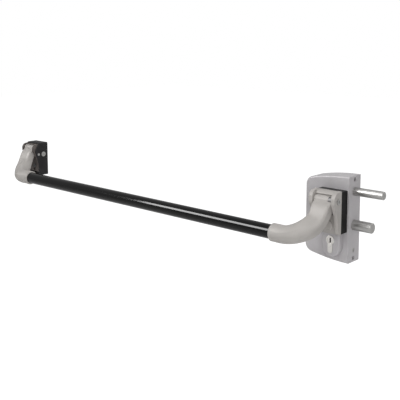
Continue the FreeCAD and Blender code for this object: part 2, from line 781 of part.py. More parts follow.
def make_dead_bolt():
    spot = (whole(0), dead_z)
    notch_x = bracket_x - dead_throw / 2
    half_notch = cam_width + moving_gap
    joint = notch_x + half_notch + fork_wall
    shaft = rod("DeadShaft", "X", joint, bolt_neck - joint, dead_r, spot)
    spigot_r = dead_r / 2
    socket = rod("DeadSocket", "X", joint - 1, fork_wall + 1, spigot_r, spot)
    solid = fuse("DeadSolid", shaft, *bolt_end("Dead", dead_overhang, dead_r, spot))
    node("dead_bolt", cut("DeadBolt", solid, socket))
    half = tail_thick / 2 - 1
    low = key_z + cam_ring_r + moving_gap / 2
    roof = key_z + cam_reach + moving_gap * 2
    rear = notch_x - half_notch - fork_wall
    plate = box("DeadPlate", (rear, joint), (-half, half), (low, dead_z + dead_r / 2))
    notch_span = (notch_x - half_notch, notch_x + half_notch)
    notch = box("DeadNotch", notch_span, (-half - 1, half + 1), (low - 1, roof))
    spigot = rod("DeadSpigot", "X", joint - 1, fork_wall + 1, spigot_r, spot)
    node("dead_bolt_tail", fuse("DeadTail", cut("DeadFork", plate, notch), spigot))


def make_follower():
    end = moving_gap / 2
    spot = (whole(0), whole(0))
    journal = rod("FollowerJournal", "Y", gate_y + end, case_depth - end * 2, follower_r, spot)
    half = tail_thick / 2 - 1
    hub = rod("FollowerHub", "Y", -half - 2, half * 2 + 4, follower_hub_r, spot)
    lever = box("FollowerLever", (-lever_half, lever_half), (-half, half), (whole(0), lever_reach))
    tip = rod("FollowerTip", "Y", -half, half * 2, lever_tip_r, (whole(0), lever_reach))
    arm = turn_about_y(fuse("FollowerArm", hub, lever, tip), bracket_x, spindle_z, lever_start)
    place(journal, bracket_x, gate_y + end, spindle_z, turn=TURN["Y"])
    side = spindle_side / 2
    across = (bracket_x - side, bracket_x + side)
    upright = (spindle_z - side, spindle_z + side)
    hole = box("FollowerSquare", across, (gate_y - 1, back_y + 1), upright)
    node("follower", cut("FollowerCut", fuse("FollowerSolid", journal, arm), hole))
    node("spindle", box("SpindleBar", across, (rack_front_y + rack_root, back_y / 2), upright))


def gear_flank(base_r, radius):
    """How far an involute has turned when it reaches a radius."""
    if radius <= base_r:
        return 0.0
    pressure = math.acos(base_r / radius)
    return math.tan(pressure) - pressure


def gear_outline(teeth, which):
    """Points of a toothed rim; which lists the teeth that are cut, counted from angle 0."""
    tooth = module.value
    pitch_r = tooth * teeth / 2
    base_r = pitch_r * math.cos(PRESSURE_ANGLE)
    root_r = pitch_r - 1.25 * tooth
    tip_r = pitch_r + tooth
    half_pitch = math.pi / (2 * teeth) - BACKLASH / (4 * pitch_r)
    offset = half_pitch + gear_flank(base_r, pitch_r)
    start_r = max(base_r, root_r)
    steps = 4
    points = []
    for index in which:
        middle = 2 * math.pi * index / teeth
        flank = []
        for step in range(steps + 1):
            radius = start_r + (tip_r - start_r) * step / steps
            flank.append((radius, offset - gear_flank(base_r, radius)))
        if root_r < base_r:
            flank.insert(0, (root_r, offset))
        for radius, angle in flank:
            points.append((radius, middle - angle))
        for radius, angle in reversed(flank):
            points.append((radius, middle + angle))
    return [Vector(radius * math.cos(angle), radius * math.sin(angle), 0) for radius, angle in points]


def prism(points, direction):
    """A closed outline pushed along a direction."""
    wire = Part.makePolygon(points + [points[0]])
    return Part.Face(wire).extrude(direction)


def make_gears():
    width = gear_width.value
    teeth = int(pinion_teeth.value)
    pinion = prism(gear_outline(teeth, range(teeth)), Vector(0, 0, width))
    length = float(gate_y - moving_gap / 2 - rack_front_y - rack_root)
    collar = Part.makeCylinder(pinion_r.value - module.value * 1.5, length)
    pinion = pinion.fuse(collar)
    side = spindle_side.value
    square = Part.makeBox(side, side, length + 2, Vector(-side / 2, -side / 2, -1))
    pinion = pinion.cut(square)
    pinion.rotate(origin, Vector(1, 0, 0), -90)
    pinion.translate(Vector(bracket_x.value, float(rack_front_y + rack_root), spindle_z.value))
    node("pinion", solid_of("PinionGear", pinion))


def sector_shape():
    """A toothed wedge round the pivot, with teeth only where the rack meets it."""
    width = gear_width.value
    points = gear_outline(int(sector_teeth.value), range(-2, 2))
    points = points[1:-1]
    sector = prism([Vector(0, 0, 0)] + points, Vector(0, 0, width))
    sector = sector.fuse(Part.makeCylinder(hub_r.value, width))
    bore = Part.makeCylinder(float(axle_r + running_gap), width + 2, Vector(0, 0, -1))
    sector = sector.cut(bore)
    sector.rotate(origin, Vector(1, 1, 1), 120)
    sector.translate(Vector(sector_x.value, pivot_y.value, pivot_z.value))
    return sector


def make_rack():
    """A square bar with teeth on its front for the sector and on its left for the pinion."""
    pitch = math.pi * module.value
    bar = rack_side.value
    x_root = float(rack_left_x + rack_root)
    y_root = float(rack_front_y + rack_root)
    low = spindle_z.value - 3.3 * pitch
    high = pivot_z.value + pitch
    shape = Part.makeBox(bar, bar, high - low, Vector(x_root, y_root, low))
    deep = 2.25 * module.value
    lean = math.tan(PRESSURE_ANGLE)
    half_root = pitch / 4 - BACKLASH / 4 + 1.25 * module.value * lean
    half_tip = pitch / 4 - BACKLASH / 4 - module.value * lean
    front = [(half_root, 0.5), (half_root, 0), (half_tip, -deep)]
    for index in range(-3, 1):
        z = pivot_z.value + (index + 0.5) * pitch
        outline = [Vector(x_root, y_root + out, z + rise) for rise, out in front]
        outline += [Vector(x_root, y_root + out, z - rise) for rise, out in reversed(front)]
        shape = shape.fuse(prism(outline, Vector(bar, 0, 0)))
    for index in range(-3, 2):
        z = spindle_z.value + (index + 0.5) * pitch
        outline = [Vector(x_root + out, y_root, z + rise) for rise, out in front]
        outline += [Vector(x_root + out, y_root, z - rise) for rise, out in reversed(front)]
        shape = shape.fuse(prism(outline, Vector(0, bar, 0)))
    node("rack", solid_of("Rack", shape.removeSplitter()))
    gap = moving_gap
    back_x = rack_left_x + rack_root + rack_side
    back_rack_y = rack_front_y + rack_root + rack_side
    upright = (block_low + block_wall, block_high - block_wall)
    side_span = (back_x + gap, block_right - block_wall)
    side_leg = box("GuideSide", side_span, (rack_front_y, gate_y), upright)
    back_span = (rack_left_x + rack_root + 1, back_x + gap + 1)
    back_leg = box("GuideBack", back_span, (back_rack_y + gap, gate_y), upright)
    node("rack_guide", fuse("RackGuide", side_leg, back_leg))


# The brackets, arms and bar

def cheek_outline(crown, trim):
    """Side view of a yoke cheek: (y, z) corners from the lower back, with a round head."""
    head_r = yoke_reach / 2
    front = block_y - yoke_reach
    return [
        (block_y, block_low),
        (block_y, crown),
        (block_y - head_r, crown - 1, head_r, 1),
        (front, crown - head_r - 1),
        (front, pivot_z - 4.5),
        (front + 3 + trim / 2, pivot_z - 13.5),
        (front + 9 + trim, pivot_z - 24.5),
        (front + 13 + trim, pivot_z - 37.5),
        (front + 16 + trim, block_low + 4.5),
        (block_y - yoke_base, block_low),
    ]


def roof_outline(crown):
    """Side view of the web that joins the cheeks above the hub."""
    under = pivot_z + hub_r + moving_gap
    return [
        (block_y, crown - 6),
        (block_y, crown - 0.3),
        (block_y - 7, crown - 1.3, yoke_reach * 0.4, 1),
        (block_y - 13.5, under + 1.5),
        (block_y - 13, under),
        (block_y - 8, under + 0.5),
    ]


def make_yoke(label, middle, cheek, crown, trims):
    """Two cheeks, a roof and a base, and the tools that bore them."""
    half = cheek_inner + cheek
    parts = []
    for index, low_x in enumerate((middle - half, middle + cheek_inner)):
        body = doc.addObject("PartDesign::Body", label + "_cheek" + str(index))
        side = cheek_outline(crown, trims[index])
        outline = sketch(body, label + "_cheek_outline" + str(index), "YZ_Plane", low_x, side)
        pad(body, label + "_cheek_pad" + str(index), outline, cheek)
        parts.append(body)
    body = doc.addObject("PartDesign::Body", label + "_roof")
    start = middle - cheek_inner - 1
    outline = sketch(body, label + "_roof_outline", "YZ_Plane", start, roof_outline(crown))
    pad(body, label + "_roof_pad", outline, cheek_inner * 2 + 2)
    parts.append(body)
    parts.append(box(
        label + "_base",
        (middle - cheek_inner - 1, middle + cheek_inner + 1),
        (base_y, block_y),
        (block_low, crown - yoke_crown),
    ))
    pivot = (pivot_y, pivot_z)
    bored = rod(label + "_bore", "X", middle - half - 1, half * 2 + 2, axle_r + running_gap, pivot)
    inner = middle - cheek_inner
    trough = rod(label + "_trough", "X", inner, cheek_inner * 2, hub_r + moving_gap, pivot)
    return parts, [bored, trough]


def screw_way(name, spot):
    return rod(name, "Y", base_y - 1, yoke_base + 2, yoke_screw_r + seat_gap, spot)


def make_right_yoke():
    """Its lower screw comes from inside the case and ends in a closed boss."""
    crown = block_high + yoke_crown
    parts, holes = make_yoke("right_yoke", bracket_x, yoke_cheek, crown, (cheek_trim, whole(0)))
    upper, lower = yoke_screw_spots(bracket_x)
    straight = boss_tall * 0.6
    parts.append(rod("BossRound", "Y", base_y - straight, straight, boss_r, lower))
    top_r = boss_r - boss_tall / 2
    parts.append(cone("BossTop", "Y", base_y - boss_tall, boss_tall - straight, top_r, boss_r, lower))
    holes.append(screw_way("RightUpperWay", upper))
    holes.append(rod("BossThread", "Y", screw_tip_y, block_y - screw_tip_y + 1, yoke_screw_r, lower))
    holes.append(box(
        "SectorWindow",
        (sector_x - window_gap, bracket_x + cheek_inner),
        (base_y - 1, block_y + 1),
        (window_low, block_high - block_wall + 1),
    ))
    node("right_yoke", cut("RightYokeCut", fuse("RightYokeSolid", *parts), *holes))


def make_left_yoke():
    """Screws and fixings go through it from the front; two pins hold the hood to its cheeks."""
    parts, holes = make_yoke("left_yoke", left_bracket_x, left_cheek, left_top, (whole(0), cheek_trim))
    for index, spot in enumerate(yoke_screw_spots(left_bracket_x)):
        holes.append(screw_way("LeftWay" + str(index), spot))
    for name, spot in left_fixing_spots():
        holes.append(rod("LeftFixing" + name, "Y", base_y - 1, yoke_base + 2, fixing_r + seat_gap, spot))
    spot = (gate_y - hood_pin_out, hood_screw_z)
    seat_long = hood_pin_deep + 1
    low_x = left_bracket_x - left_half - 1
    high_x = left_bracket_x + left_half - hood_pin_deep
    holes.append(rod("PinSeatLow", "X", low_x, seat_long, hood_pin_r, spot))
    holes.append(rod("PinSeatHigh", "X", high_x, seat_long, hood_pin_r, spot))
    node("left_yoke", cut("LeftYokeCut", fuse("LeftYokeSolid", *parts), *holes))


def yoke_screw(name, spot, tip_y, head_y, outward):
    head_r = yoke_screw_r + 2
    return screw(name, "Y", spot, tip_y, head_y, yoke_screw_r, head_r, yoke_screw_r * 0.6, outward)


def make_yoke_screws():
    upper, lower = yoke_screw_spots(bracket_x)
    case_y = gate_y + case_wall
    node("right_yoke_screws", group("RightYokeScrews", [
        yoke_screw("RightUpper", upper, case_y + yoke_boss_deep - 1, base_y, -1),
        yoke_screw("RightLower", lower, screw_tip_y, case_y, 1),
    ]))
    upper, lower = yoke_screw_spots(left_bracket_x)
    node("left_yoke_screws", group("LeftYokeScrews", [
        yoke_screw("LeftUpper", upper, gate_y - moving_gap, base_y, -1),
        yoke_screw("LeftLower", lower, gate_y - moving_gap, base_y, -1),
    ]))


def make_axle(label, middle):
    half = bracket_half
    start = middle - half - 2.6
    rod_piece = rod(label + "_rod", "X", start, half * 2 + 2.6, axle_r, (pivot_y, pivot_z))
    head_r = axle_r + 1.5
    head = rod(label + "_head", "X", middle + half, axle_head, head_r, (pivot_y, pivot_z))
    hexagon = doc.addObject("Part::Prism", label + "_socket")
    hexagon.Polygon = 6
    bind(hexagon, "Circumradius", axle_r * 0.7)
    bind(hexagon, "Height", axle_head)
    place(hexagon, middle + half + 0.5, pivot_y, pivot_z, turn=TURN["X"])
    groove_x = middle - half - 1.6
    ring = rod(label + "_groove", "X", groove_x, clip_thick + 0.1, axle_r + 1, (pivot_y, pivot_z))
    core = rod(label + "_core", "X", groove_x - 1, whole(4), axle_r - 0.5, (pivot_y, pivot_z))
    blank = fuse(label + "_blank", rod_piece, head)
    node(label, cut(label + "_cut", blank, hexagon, cut(label + "_neck", ring, core)))
    outer = rod(label + "_clip_ring", "X", groove_x + 0.05, clip_thick, axle_r + 1.8, (pivot_y, pivot_z))
    inner = rod(label + "_clip_bore", "X", groove_x - 1, clip_thick + 3, axle_r - 0.5, (pivot_y, pivot_z))
    gap = box(
        label + "_clip_gap",
        (groove_x - 1, groove_x + clip_thick + 1),
        (pivot_y - axle_r * 0.6, pivot_y + axle_r * 0.6),
        (pivot_z - axle_r * 2, pivot_z),
    )
    node(label + "_clip", cut(label + "_clip_cut", outer, inner, gap))


def make_left_axle():
    """A plain pin, kept in place by the two sides of the hood."""
    half = left_half
    bevel = axle_r / 5
    spot = (pivot_y, pivot_z)
    start = left_bracket_x - half
    core = rod("left_axle_core", "X", start + bevel, half * 2 - bevel * 2, axle_r, spot)
    low = cone("left_axle_low", "X", start, bevel, axle_r - bevel, axle_r, spot)
    high = cone("left_axle_high", "X", left_bracket_x + half - bevel, bevel, axle_r, axle_r - bevel, spot)
    node("left_axle", fuse("LeftAxle", core, low, high))


def between(levels, part):
    """A value that glides through evenly spaced levels, with part from 0 to 1."""
    steps = len(levels) - 1
    index = min(int(part * steps), steps - 1)
    rest = part * steps - index
    ease = rest * rest * (3 - 2 * rest)
    return levels[index] + (levels[index + 1] - levels[index]) * ease


def arm_section(centre, along, front, half_wide, half_thick, power):
    """A rounded rectangle, from nearly square corners to a true circle as power nears 2."""
    front = (front - along * front.dot(along)).normalize()
    wide = front.cross(along)
    points = []
    count = 28
    for index in range(count + 1):
        angle = 2 * math.pi * (index + 0.5) / count
        across = math.copysign(abs(math.cos(angle)) ** (2 / power), math.cos(angle)) * half_wide
        deep = math.copysign(abs(math.sin(angle)) ** (2 / power), math.sin(angle)) * half_thick
        points.append(centre + wide * across + front * deep)
    return points


def skin(rings):
    """A solid through rings of points, with flat ends."""
    surface = Part.BSplineSurface()
    surface.interpolate(rings)
    side = surface.toShape()
    ends = []
    for ring in (rings[0], rings[-1]):
        normal = (ring[7] - ring[0]).cross(ring[14] - ring[0])
        for edge in side.Edges:
            spots = edge.discretize(5)
            if max(abs((spot - ring[0]).dot(normal)) for spot in spots) < 0.001 * normal.Length:
                ends.append(Part.Face(Part.Wire([edge])))
    shell = Part.Shell([side] + ends)
    shell.sewShape()
    solid = Part.Solid(shell)
    if solid.Volume < 0:
        solid.reverse()
    return solid


def arm_blank(reach):
    """The cast arm about the right bracket: a hub, a swept strip and a round socket."""
    middle = bracket_x.value
    hub_half = float(cheek_inner - moving_gap)
    elbow_x = middle - elbow_reach.value
    mouth_x = middle - reach.value
    bar_y_at = bar_y.value
    bar_z_at = bar_z.value
    start = Vector(middle, pivot_y.value + 0.6, pivot_z.value + 4.5)
    handles = [
        start,
        start + Vector(0, -0.634, -0.773) * arm_run.value,
        Vector(middle + 4, bar_y_at + 48.3, bar_z_at + 15),
        Vector(middle - elbow_reach.value * 0.44, bar_y_at, bar_z_at),
        Vector(elbow_x, bar_y_at, bar_z_at),
    ]
    strip_half = float(cheek_inner - moving_gap - hub_collar)
    widths = [strip_half, strip_half, arm_wide_mid.value / 2, socket_r.value]
    depths = [arm_thick.value / 2, arm_thick_mid.value / 2, socket_r.value, socket_r.value]
    rings = []
    count = 9
    for index in range(count):
        part = index / (count - 1)
        spots = handles
        while len(spots) > 2:
            spots = [first * (1 - part) + second * part for first, second in zip(spots, spots[1:])]
        centre = spots[0] * (1 - part) + spots[1] * part
        along = (spots[1] - spots[0]).normalize()
        front = Vector(0, -0.79 - 0.14 * part, 0.61 - 0.25 * part)
        power = 2 + 4.5 * (1 - part * part * (3 - 2 * part)) ** 1.5
        wide = between(widths, part)
        thick = between(depths, part)
        rings.append(arm_section(centre, along, front, wide, thick, power))
    steps = max(1, round((elbow_x - mouth_x) / ring_step.value))
    for index in range(steps):
        centre = Vector(elbow_x + (mouth_x - elbow_x) * (index + 1) / steps, bar_y_at, bar_z_at)
        rings.append(arm_section(centre, Vector(-1, 0, 0), front, socket_r.value, socket_r.value, 2))
    arm = skin(rings)
    pivot_at = Vector(middle - hub_half, pivot_y.value, pivot_z.value)
    arm = arm.fuse(Part.makeCylinder(hub_r.value, hub_half * 2, pivot_at, Vector(1, 0, 0)))
    past = Vector(1, 0, 0)
    bore = Part.makeCylinder(bush_r.value, hub_half * 2 + 2, pivot_at - past, past)
    mouth_at = Vector(mouth_x, bar_y_at, bar_z_at)
    tube_r = float(bar_r + seat_gap)
    seat = Part.makeCylinder(tube_r, socket_depth.value + 1, mouth_at - past, past)
    grub_at = mouth_at + past * (socket_depth.value / 2)
    grub = Part.makeCylinder(grub_r.value, socket_r.value * 2, grub_at, GRUB_AIM)
    bevel = mouth_bevel.value
    ring = Part.makeCylinder(socket_r.value * 2, bevel * 2, mouth_at - past, past)
    small = socket_r.value - bevel - 1
    large = socket_r.value + bevel - 1
    ring = ring.cut(Part.makeCone(small, large, bevel * 2, mouth_at - past, past))
    return arm.cut(bore).cut(seat).cut(grub).cut(ring)


def make_arms():
    blank = solid_of("ArmBlank", arm_blank(right_reach))
    half = cheek_inner - moving_gap
    room = rod("SectorRoom", "X", sector_x - 0.3, gear_width * 2, hub_r + 0.6, (pivot_y, pivot_z))
    dowels = make_sector_dowels()
    node("right_arm", cut("RightArm", blank, room, *dowels))
    node("sector_dowels", group("SectorDowels", dowels))
    node("sector_gear", cut("SectorCut", solid_of("SectorBlank", sector_shape()), *dowels))
    mirrored = doc.addObject("Part::Mirroring", "LeftArm")
    mirrored.Source = solid_of("LeftArmBlank", arm_blank(left_reach))
    mirrored.Normal = Vector(1, 0, 0)
    bind(mirrored, "Base.x", bracket_x - bracket_span / 2)
    node("left_arm", mirrored)
    pivot = (pivot_y, pivot_z)
    for label, middle, high in (
        ("right_bushes", bracket_x, sector_x - 0.3),
        ("left_bushes", left_bracket_x, left_bracket_x + half),
    ):
        made = []
        low = middle - half
        for index, start in enumerate((low, high - bush_long)):
            name = label + str(index)
            outer = rod(name + "_outer", "X", start, bush_long, bush_r, pivot)
            inner = rod(name + "_bore", "X", start - 1, bush_long + 2, axle_r + running_gap, pivot)
            made.append(cut(name, outer, inner))
        node(label, group(label + "_pair", made))
    start = mouth_left - socket_depth + seat_gap
    length = mouth_right + socket_depth - seat_gap - start
    spot = (bar_y, bar_z)
    tube = rod("BarOuter", "X", start, length, bar_r, spot)
    hollow = rod("BarInner", "X", start - 1, length + 2, bar_r - bar_wall, spot)
    node("bar_tube", cut("BarTube", tube, hollow))
    grubs = []
    for index, mouth in enumerate((mouth_right + socket_depth / 2, mouth_left - socket_depth / 2)):
        name = "Grub" + str(index)
        spot = Vector(mouth.value, bar_y.value, bar_z.value)
        aim = GRUB_AIM
        near = float(bar_r + seat_gap) + 0.02
        screw_shape = Part.makeCylinder(grub_r.value, socket_r.value - near - 0.3, spot + aim * near, aim)
        hexagon = Part.makeCylinder(grub_r.value * 0.5, 2, spot + aim * (socket_r.value - 1.5), aim)
        grubs.append(solid_of(name, screw_shape.cut(hexagon)))
    node("bar_grub_screws", group("Grubs", grubs))


def make_block(label, middle, half_width, high, has_window):
    """A cast block, hollow from the back, with a tube round each yoke screw."""
    left = middle - half_width
    right = middle + half_width
    body = doc.addObject("PartDesign::Body", label + "_body")
    outline = corners((left, right), (block_low, high))
    outer = sketch(body, label + "_outline", "XZ_Plane", -gate_y, outline)
    block = pad(body, label + "_pad", outer, block_depth)

    def upright_corner(edge):
        return edge.BoundBox.YLength > 1

    round_edges(body, label + "_round", block, block_corner, upright_corner)
    wall = block_wall
    inside = corners((left + wall, right - wall), (block_low + wall, high - wall))
    inner = sketch(body, label + "_inside", "XZ_Plane", -gate_y, inside)
    pocket(body, label + "_hollow", inner, block_depth - wall, reverse=True)
    tubes = []
    holes = []
    for index, spot in enumerate(yoke_screw_spots(middle)):
        name = label + str(index)
        tubes.append(rod(name + "_tube", "Y", block_y + 1, block_depth - 1, yoke_screw_r + 2, spot))
        holes.append(rod(name + "_way", "Y", block_y - 1, block_depth + 2, yoke_screw_r + seat_gap, spot))
    if has_window:
        holes.append(box(
            label + "_window",
            (sector_x - window_gap, middle + cheek_inner),
            (block_y - 1, block_y + wall + 1),
            (window_low, high - wall),
        ))
    else:
        for name, spot in left_fixing_spots():
            post = rod(label + name + "_post", "Y", block_y + 1, block_depth - 1, fixing_r + 2, spot)
            thread = rod(label + name + "_thread", "Y", block_y - 1, block_depth + 2, fixing_r, spot)
            tubes.append(post)
            holes.append(thread)
        for sign, name in ((1, "_right"), (-1, "_left")):
            spot = (gate_y - hood_screw_out, hood_screw_z)
            inner_x = middle + (half_width - 10) * sign
            start = inner_x if sign > 0 else middle - half_width
            tubes.append(rod(label + name + "_lug", "X", start, whole(10), yoke_screw_r + 2.5, spot))
            holes.append(rod(label + name + "_tap", "X", start - 1, whole(12), yoke_screw_r, spot))
    return node(label, cut(label + "_cut", fuse(label + "_solid", body, *tubes), *holes))


def hood_outline():
    """Side view of the left hood: (y, z) corners with a round brow."""
    return [
        (gate_y, hood_low),
        (gate_y, hood_high),
        (gate_y - 21, hood_high, whole(12), 1),
        (gate_y - 30.5, hood_high - 5),
        (gate_y - 36, hood_high - 14),
        (gate_y - 38, hood_high - 21.5),
        (gate_y - 36, hood_high - 31),
        (gate_y - 32.5, hood_high - 40.5),
        (gate_y - 28.7, hood_high - 55),
        (gate_y - 28, hood_low),
    ]


def make_hood():
    """A ring of sheet over the left bracket: top, bottom and two shaped sides."""
    half = hood_half
    body = doc.addObject("PartDesign::Body", "HoodBody")
    outline = sketch(body, "HoodOutline", "YZ_Plane", left_bracket_x - half, hood_outline())
    block = pad(body, "HoodPad", outline, half * 2)
    high_z = float(hood_high)

    def upper_side(edge):
        spot = edge.BoundBox
        return spot.XLength < 0.01 and spot.ZMin > high_z - 0.01

    round_edges(body, "HoodRound", block, hood_round, upper_side)
    inside = half - hood_wall
    hollow = box(
        "HoodInside",
        (left_bracket_x - inside, left_bracket_x + inside),
        (pivot_y - yoke_reach, gate_y + 1),
        (hood_low + hood_wall, hood_high - hood_wall),
    )
    start = left_bracket_x - half - 1
    reach = half * 2 + 2
    tools = [hollow]
    for spot, radius in (
        ((gate_y - hood_screw_out, hood_screw_z), yoke_screw_r + seat_gap),
        ((gate_y - hood_pin_out, hood_screw_z), hood_pin_r),
    ):
        tools.append(rod("HoodHole" + str(len(tools)), "X", start, reach, radius, spot))
    node("left_hood", cut("HoodCut", body, *tools))


def make_hood_fasteners():
    half = hood_half
    screws = []
    pins = []
    for sign, name in ((1, "Right"), (-1, "Left")):
        face = left_bracket_x + half * sign
        tip = face - hood_screw_long * sign
        spot = (gate_y - hood_screw_out, hood_screw_z)
        screws.append(screw(
            "HoodScrew" + name, "X", spot, tip, face,
            yoke_screw_r, hood_screw_head_r, hood_screw_head, sign,
        ))
        pin_spot = (gate_y - hood_pin_out, hood_screw_z)
        deep = half - left_half + hood_pin_deep
        start = face - deep if sign > 0 else face - hood_pin_proud
        pins.append(rod("HoodPin" + name, "X", start, deep + hood_pin_proud, hood_pin_r, pin_spot))
    node("hood_screws", group("HoodScrews", screws))
    node("hood_pins", group("HoodPins", pins))


def make_sector_dowels():
    pins = []
    for sign, name in ((1, "Upper"), (-1, "Lower")):
        spot = (pivot_y, pivot_z + (hub_r - dowel_r - 0.4) * sign)
        start = sector_x - dowel_deep
        pins.append(rod("Dowel" + name, "X", start, dowel_deep + gear_width, dowel_r, spot))
    return pins


make_case()
make_lid()
make_guards()
make_key_cylinder()
make_latch_bolt()
make_dead_bolt()
make_follower()
make_gears()
make_rack()
make_block("spacer_block", bracket_x, bracket_half, block_high, True)
make_block("left_spacer", left_bracket_x, left_half, left_top, False)
make_right_yoke()
make_left_yoke()
make_yoke_screws()
make_axle("right_axle", bracket_x)
make_left_axle()
make_arms()
make_hood()
make_hood_fasteners()

doc.recompute()
for thing in doc.Objects:
    if "Invalid" in thing.State or "Error" in thing.State:
        raise RuntimeError(thing.Name + " failed: " + str(thing.State))
for label, thing in nodes.items():
    if thing.Shape.isNull() or not thing.Shape.isValid():
        raise RuntimeError(label + " has no valid shape")
    if not thing.Shape.Solids:
        raise RuntimeError(label + " has no solid")

os.makedirs("parts", exist_ok=True)
for label, thing in nodes.items():
    thing.Shape.exportStep("parts/" + label + ".step")
    print(label, "%.0f" % thing.Shape.Volume, len(thing.Shape.Solids))
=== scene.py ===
import json
import math

import bpy
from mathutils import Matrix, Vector

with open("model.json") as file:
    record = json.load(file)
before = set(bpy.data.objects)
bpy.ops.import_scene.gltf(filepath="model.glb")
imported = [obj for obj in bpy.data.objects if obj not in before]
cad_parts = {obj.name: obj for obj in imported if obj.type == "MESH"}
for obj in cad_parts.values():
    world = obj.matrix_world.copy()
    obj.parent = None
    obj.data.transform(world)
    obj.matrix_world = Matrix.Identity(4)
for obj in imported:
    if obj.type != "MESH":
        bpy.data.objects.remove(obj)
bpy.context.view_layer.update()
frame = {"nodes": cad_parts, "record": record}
nodes = frame["nodes"]
scene = bpy.context.scene
scene.view_settings.view_transform = "Standard"

WHITE = (1, 1, 1, 1)


# Materials. Lengths are in metres and grain sizes in grains per metre.

NOISE_ROUGHNESS = 0.55
BEVEL_SAMPLES = 6

# The range that most values of a noise fall in
NOISE_LOW = 0.3
NOISE_HIGH = 0.7

# Sockets of a mix node that carry colours
MIX_FIRST_COLOUR = 6
MIX_SECOND_COLOUR = 7
MIX_COLOUR_OUT = 2

CAST_METALLIC = 0.08
CAST_SPECULAR = 0.3
PAINT_SPECULAR = 0.12
TUBE_SPECULAR = 0.25


def srgb(red, green, blue):
    """A colour written as 0 to 255 screen values."""
    def linear(value):
        value = value / 255
        return value / 12.92 if value <= 0.04045 else ((value + 0.055) / 1.055) ** 2.4
    return (linear(red), linear(green), linear(blue), 1)


class Shader:
    """A short way to build one material's nodes."""

    def __init__(self, name):
        self.material = bpy.data.materials.new(name)
        self.material.use_nodes = True
        self.tree = self.material.node_tree
        self.tree.nodes.clear()
        self.surface = self.tree.nodes.new("ShaderNodeBsdfPrincipled")
        output = self.tree.nodes.new("ShaderNodeOutputMaterial")
        self.join(self.surface.outputs[0], output.inputs["Surface"])
        self.place = self.tree.nodes.new("ShaderNodeTexCoord").outputs["Object"]

    def join(self, source, target):
        self.tree.links.new(source, target)

    def noise(self, scale, detail, stretch=(1, 1, 1)):
        """Noise of a given grain size, drawn out along the axis whose stretch is small."""
        mapping = self.tree.nodes.new("ShaderNodeMapping")
        mapping.inputs["Scale"].default_value = stretch
        self.join(self.place, mapping.inputs["Vector"])
        made = self.tree.nodes.new("ShaderNodeTexNoise")
        made.inputs["Scale"].default_value = scale
        made.inputs["Detail"].default_value = detail
        made.inputs["Roughness"].default_value = NOISE_ROUGHNESS
        self.join(mapping.outputs[0], made.inputs["Vector"])
        return made.outputs["Fac"]

    def spread(self, source, low, high):
        """Map a noise to a range of numbers."""
        made = self.tree.nodes.new("ShaderNodeMapRange")
        made.inputs["From Min"].default_value = NOISE_LOW
        made.inputs["From Max"].default_value = NOISE_HIGH
        made.inputs["To Min"].default_value = low
        made.inputs["To Max"].default_value = high
        self.join(source, made.inputs["Value"])
        return made.outputs[0]

    def blend(self, source, first, second):
        """Wander between two colours as a noise does."""
        made = self.tree.nodes.new("ShaderNodeMix")
        made.data_type = "RGBA"
        self.join(self.spread(source, 0, 1), made.inputs["Factor"])
        made.inputs[MIX_FIRST_COLOUR].default_value = first
        made.inputs[MIX_SECOND_COLOUR].default_value = second
        return made.outputs[MIX_COLOUR_OUT]

    def bump(self, height, distance, strength, below):
        """Raise a normal by a height, on top of the normal below."""
        made = self.tree.nodes.new("ShaderNodeBump")
        made.inputs["Strength"].default_value = strength
        made.inputs["Distance"].default_value = distance
        self.join(height, made.inputs["Height"])
        self.join(below, made.inputs["Normal"])
        return made.outputs[0]

    def soft_edges(self, radius):
        """The normal of the shape with its sharp edges rounded."""
        made = self.tree.nodes.new("ShaderNodeBevel")
        made.samples = BEVEL_SAMPLES
        made.inputs["Radius"].default_value = radius
        return made.outputs[0]

    def finish(self, **values):
        """Set or join the surface's inputs and give the material."""
        names = {
            "colour": "Base Color",
            "metal": "Metallic",
            "rough": "Roughness",
            "normal": "Normal",
            "specular": "Specular IOR Level",
        }
        for name, value in values.items():
            socket = self.surface.inputs[names[name]]
            if isinstance(value, bpy.types.NodeSocket):
                self.join(value, socket)
            else:
                socket.default_value = value
        return self.material


def cast_metal(name, light, dark, rough, grain_height, edge):
    """Satin cast metal: fine sandy grain over slow waves, and slow patches of tone."""
    made = Shader(name)
    patches = made.noise(scale=28, detail=4)
    sand = made.noise(scale=2600, detail=2)
    waves = made.noise(scale=120, detail=2)
    sandy = made.bump(sand, distance=grain_height, strength=0.25, below=made.soft_edges(edge))
    wavy = made.bump(waves, distance=grain_height * 3, strength=0.12, below=sandy)
    return made.finish(
        colour=made.blend(patches, dark, light),
        metal=CAST_METALLIC,
        rough=made.spread(patches, rough - 0.04, rough + 0.05),
        normal=wavy,
        specular=CAST_SPECULAR,
    )


def painted(name, light, dark, rough, peel, edge):
    """Powder coat or moulded plastic: orange peel, slow patches of tone and uneven sheen."""
    made = Shader(name)
    patches = made.noise(scale=35, detail=3)
    dimples = made.noise(scale=900, detail=2)
    sheen = made.noise(scale=60, detail=4)
    return made.finish(
        colour=made.blend(patches, dark, light),
        metal=0,
        rough=made.spread(sheen, rough - 0.05, rough + 0.05),
        normal=made.bump(dimples, distance=peel, strength=0.4, below=made.soft_edges(edge)),
        specular=PAINT_SPECULAR,
    )


def brushed(name, light, dark, rough, stretch, edge):
    """Turned or drawn metal: fine scratches along one direction."""
    made = Shader(name)
    lines = made.noise(scale=700, detail=3, stretch=stretch)
    return made.finish(
        colour=made.blend(lines, dark, light),
        metal=1,
        rough=made.spread(lines, rough - 0.06, rough + 0.06),
        normal=made.bump(lines, distance=0.00003, strength=0.3, below=made.soft_edges(edge)),
    )


